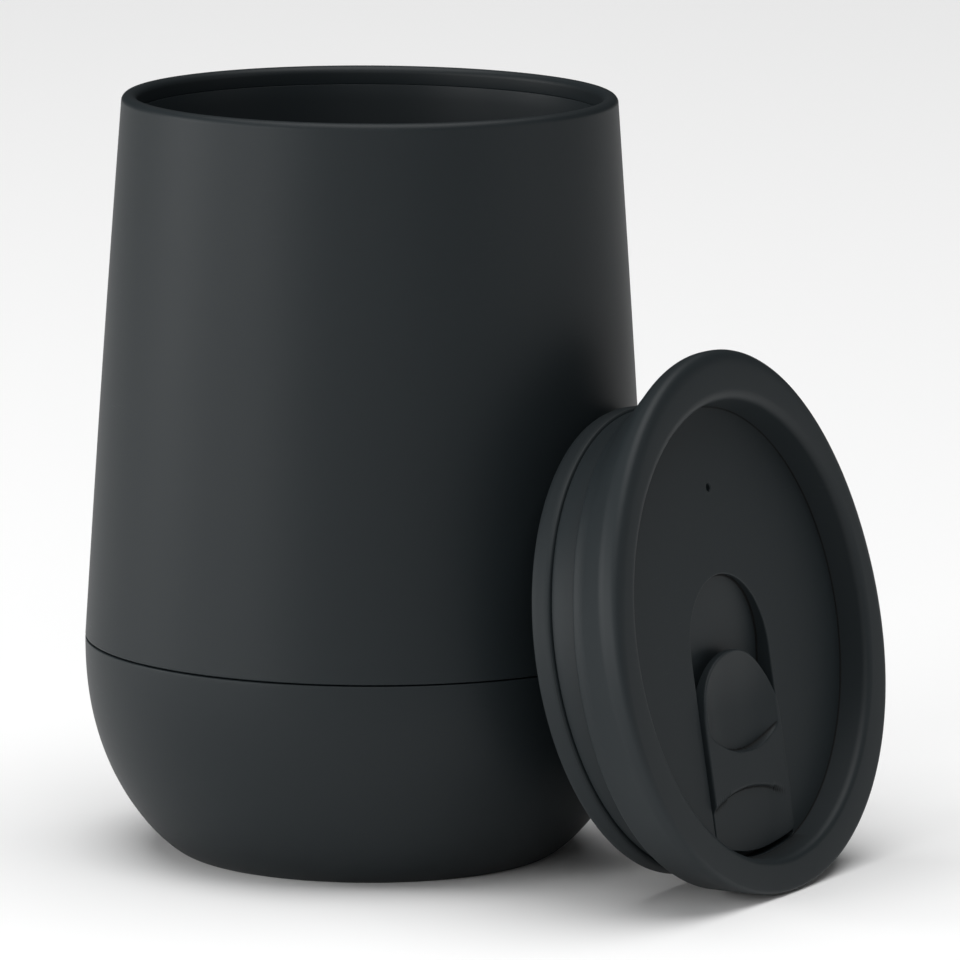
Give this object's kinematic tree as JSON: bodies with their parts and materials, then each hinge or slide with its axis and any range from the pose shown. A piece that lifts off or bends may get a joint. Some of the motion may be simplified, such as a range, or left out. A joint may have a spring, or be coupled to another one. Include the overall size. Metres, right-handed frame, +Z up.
{
  "type": "drinks tumbler",
  "caption": "Double-walled tapering drinks tumbler with a rounded base; its slide-closure lid leans beside it.",
  "frame": {"origin": "centre of the cup's flat underside, on the surface it stands on", "axes": "+Z up along the cup's axis; +X level, towards the lid that leans beside the cup"},
  "size_m": [0.1143, 0.0853, 0.1141],
  "materials": {
    "shell": "fine satin charcoal, moulded",
    "liner": "satin charcoal, moulded",
    "lid": "matte charcoal, moulded",
    "seal": "soft matte silicone"
  },
  "bodies": {
    "cup": {"outer_sleeve": "shell", "base_shell": "shell", "liner_cup": "liner"},
    "lid": {"lid_body": "lid", "lid_seal": "seal"},
    "closure": {"slider": "lid", "slider_pad": "seal", "slider_keeper": "lid"}
  },
  "joints": [
    {"name": "lid_lift", "type": "slide", "parent": "cup", "child": "lid", "axis": [0, 0, 1], "range_m": [0, 0.13]},
    {"name": "slider_slide", "type": "slide", "parent": "lid", "child": "closure", "axis": [-0.1956, 0.06, 0.9789], "range_m": [0, 0.009]}
  ]
}
